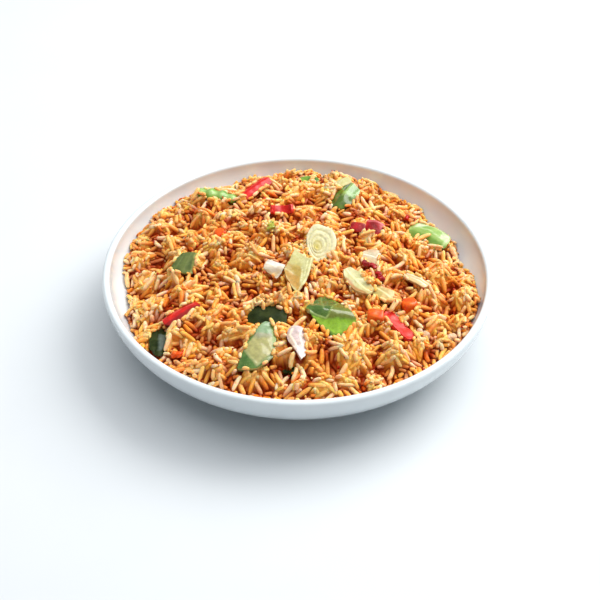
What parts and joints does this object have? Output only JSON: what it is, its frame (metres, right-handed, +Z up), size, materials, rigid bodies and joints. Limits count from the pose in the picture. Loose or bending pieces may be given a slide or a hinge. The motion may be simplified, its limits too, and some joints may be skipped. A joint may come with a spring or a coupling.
{
  "type": "bowl of chilli garlic rice",
  "caption": "Shallow white ceramic bowl heaped with orange chilli garlic rice, with green and red pepper, carrot, leek, onion and dark leaf pieces lying in it.",
  "frame": {"origin": "on the surface the bowl stands on, under the centre of the bowl", "axes": "+Z up out of the bowl; -Y towards the front, from which the dish is seen; +X to its right"},
  "size_m": [0.254, 0.254, 0.063],
  "materials": {
    "porcelain": "white glazed ceramic, glossy",
    "fried_rice": "cooked grains with chilli oil, slightly moist",
    "pepper_green": "cooked green pepper and pod skin, wet gloss",
    "pepper_pale": "inner flesh of green pepper, moist",
    "leaf_dark": "dark wilted leaf, moist",
    "pepper_red": "cooked red pepper, wet gloss",
    "carrot": "cooked carrot, moist",
    "leek": "pale translucent leek and cabbage, moist",
    "onion": "translucent cooked onion, wet"
  },
  "bodies": {
    "root": {"bowl": "porcelain", "rice": "fried_rice", "pepper_center": "pepper_green", "pepper_front": "pepper_pale", "pepper_right": "pepper_green", "pepper_back_right": "pepper_green", "pepper_back": "pepper_green", "pepper_left": "pepper_green", "green_pod": "pepper_green", "leaf_dark_left": "leaf_dark", "leaf_dark_center": "leaf_dark", "red_strip_back": "pepper_red", "red_curl": "pepper_red", "red_mid_left": "pepper_red", "red_mid_right": "pepper_red", "red_strip_left": "pepper_red", "red_strip_right": "pepper_red", "carrot_left": "carrot", "carrot_center": "carrot", "carrot_right": "carrot", "leek_slice": "leek", "leek_leaf": "leek", "leek_back": "leek", "cabbage_center": "leek", "cabbage_right": "leek", "onion_white": "onion", "onion_back": "onion", "onion_right": "onion", "onion_front": "onion"}
  },
  "joints": []
}
